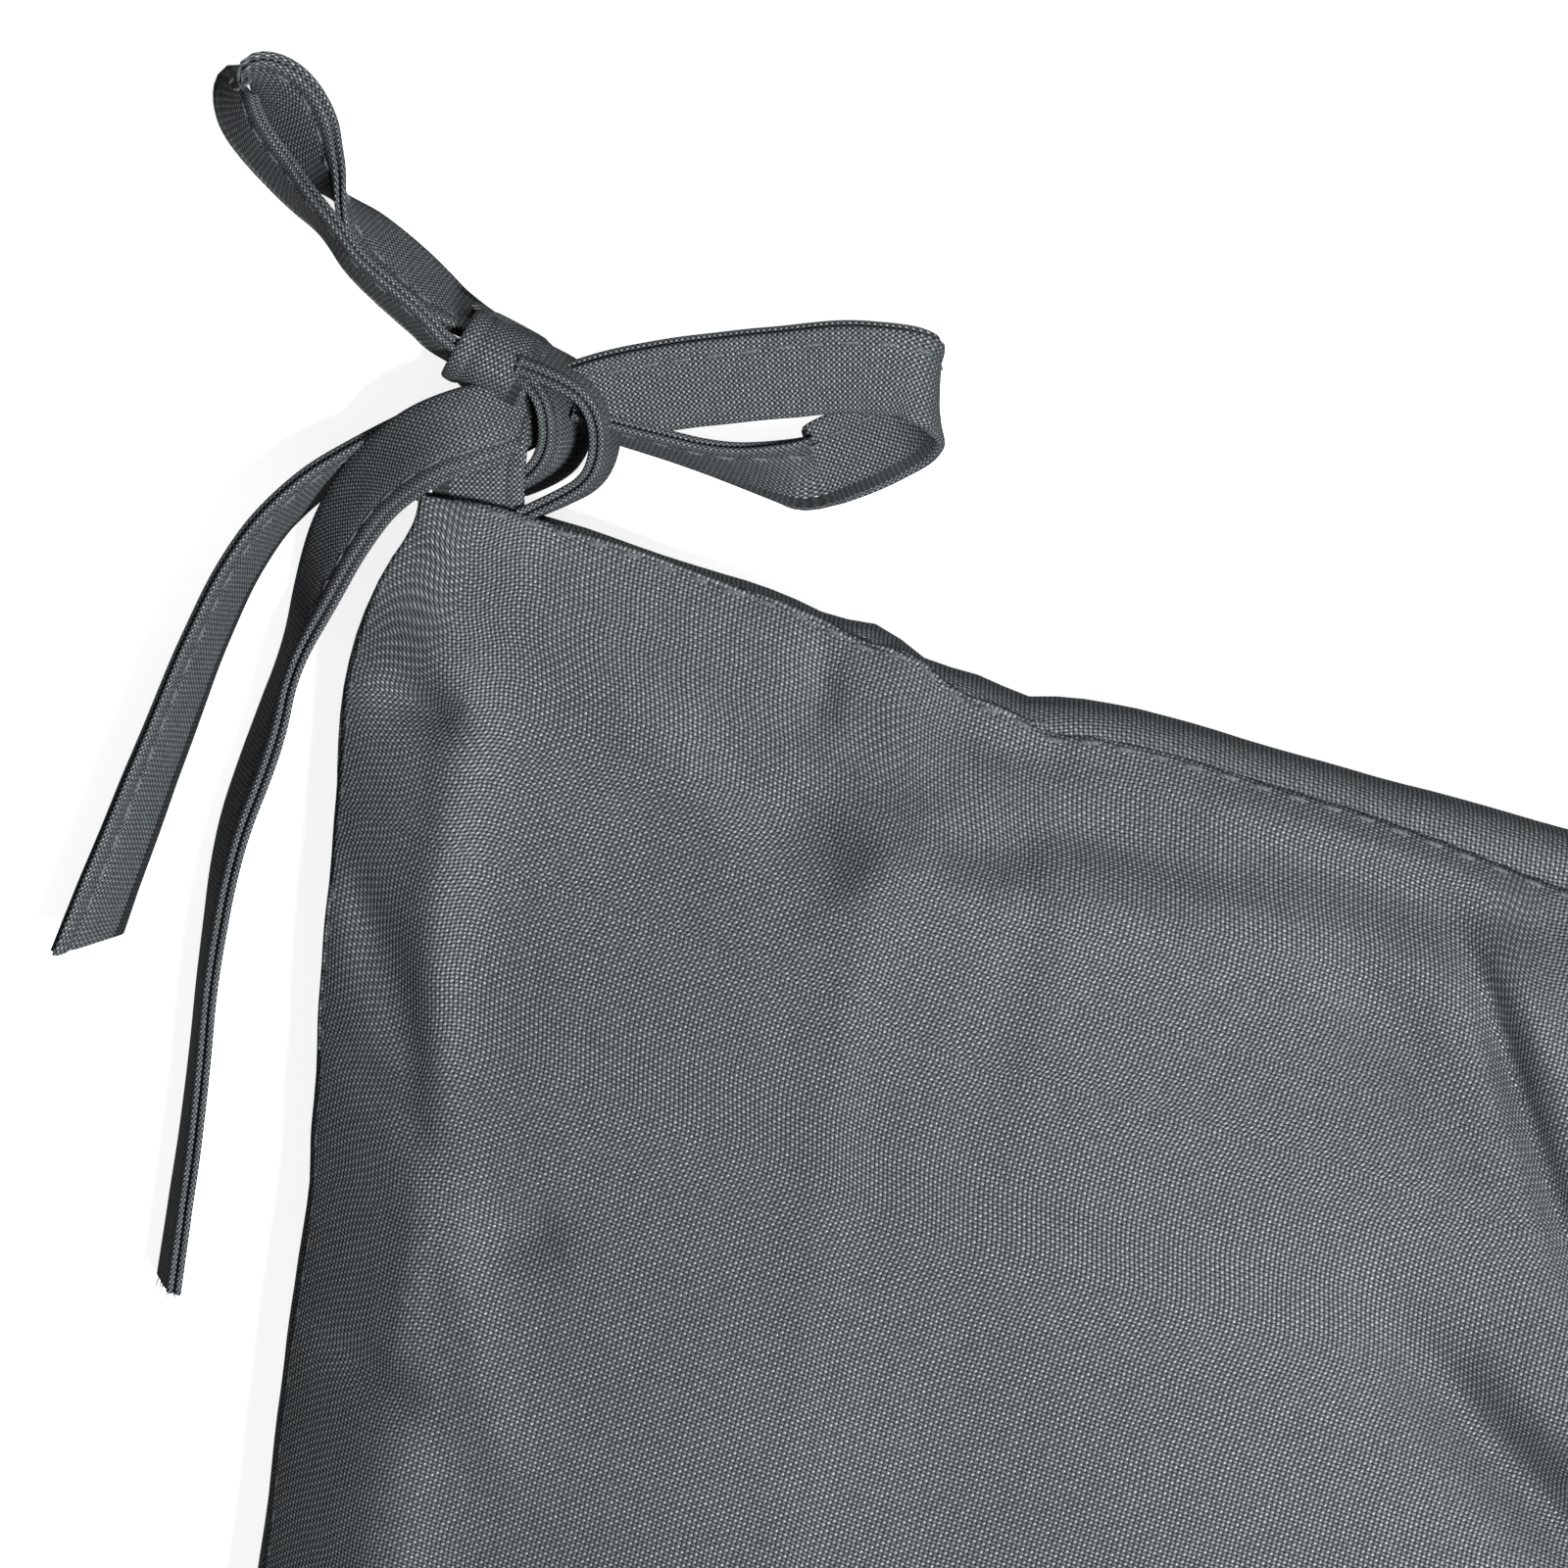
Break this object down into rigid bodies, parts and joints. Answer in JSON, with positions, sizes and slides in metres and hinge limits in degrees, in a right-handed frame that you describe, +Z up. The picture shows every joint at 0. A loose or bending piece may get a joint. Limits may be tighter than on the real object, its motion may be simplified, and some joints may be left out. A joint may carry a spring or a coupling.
{
  "type": "chair seat pad",
  "caption": "Square knife-edge seat pad with a crowned top, drawn-in sides and fabric ties sewn into the rear corners and tied in bows.",
  "frame": {"origin": "middle of the pad's outline, on the surface it rests on", "axes": "+Z up out of the crown, +Y to the rear edge with the ties, +X to the sitter's left when facing forward"},
  "size_m": [0.4568, 0.4425, 0.05],
  "materials": {
    "cover_cloth": "plain-woven Oxford cloth, slight sheen",
    "tie_cloth": "plain-woven Oxford cloth, folded and topstitched",
    "sewing_thread": "spun polyester thread",
    "fibre_fill": "loose hollow fibre"
  },
  "bodies": {
    "pad": {"cover_top_panel": "cover_cloth", "cover_bottom_panel": "cover_cloth", "fibre_filling": "fibre_fill", "edge_seam_thread": "sewing_thread", "left_tie_sewn_end": "tie_cloth", "right_tie_sewn_end": "tie_cloth"},
    "left_bow": {"left_tie_root": "tie_cloth", "left_tie_knot": "tie_cloth", "left_tie_upper_loop": "tie_cloth", "left_tie_side_loop": "tie_cloth"},
    "left_tails": {"left_tie_outer_tail": "tie_cloth", "left_tie_inner_tail": "tie_cloth", "left_tie_topstitch": "sewing_thread"},
    "right_bow": {"right_tie_root": "tie_cloth", "right_tie_knot": "tie_cloth", "right_tie_upper_loop": "tie_cloth", "right_tie_side_loop": "tie_cloth"},
    "right_tails": {"right_tie_outer_tail": "tie_cloth", "right_tie_inner_tail": "tie_cloth", "right_tie_topstitch": "sewing_thread"}
  },
  "joints": [
    {"name": "left_tie_fold", "type": "hinge", "parent": "pad", "child": "left_bow", "pos_m": [-0.1895, 0.19937, 0.012], "axis": [0.9781, 0.2079, 0], "range_deg": [0, 80]},
    {"name": "left_tail_trail", "type": "hinge", "parent": "left_bow", "child": "left_tails", "pos_m": [-0.18504, 0.21207, 0.0073], "axis": [0.9781, 0.2079, 0], "range_deg": [-72, 0]},
    {"name": "right_tie_fold", "type": "hinge", "parent": "pad", "child": "right_bow", "pos_m": [0.1895, 0.19937, 0.012], "axis": [0.9781, -0.2079, 0], "range_deg": [0, 80]},
    {"name": "right_tail_trail", "type": "hinge", "parent": "right_bow", "child": "right_tails", "pos_m": [0.18504, 0.21207, 0.0073], "axis": [0.9781, -0.2079, 0], "range_deg": [-72, 0]}
  ],
  "couplings": [
    {"joint": "left_tail_trail", "follows": "left_tie_fold", "ratio": -0.9},
    {"joint": "right_tail_trail", "follows": "right_tie_fold", "ratio": -0.9}
  ]
}
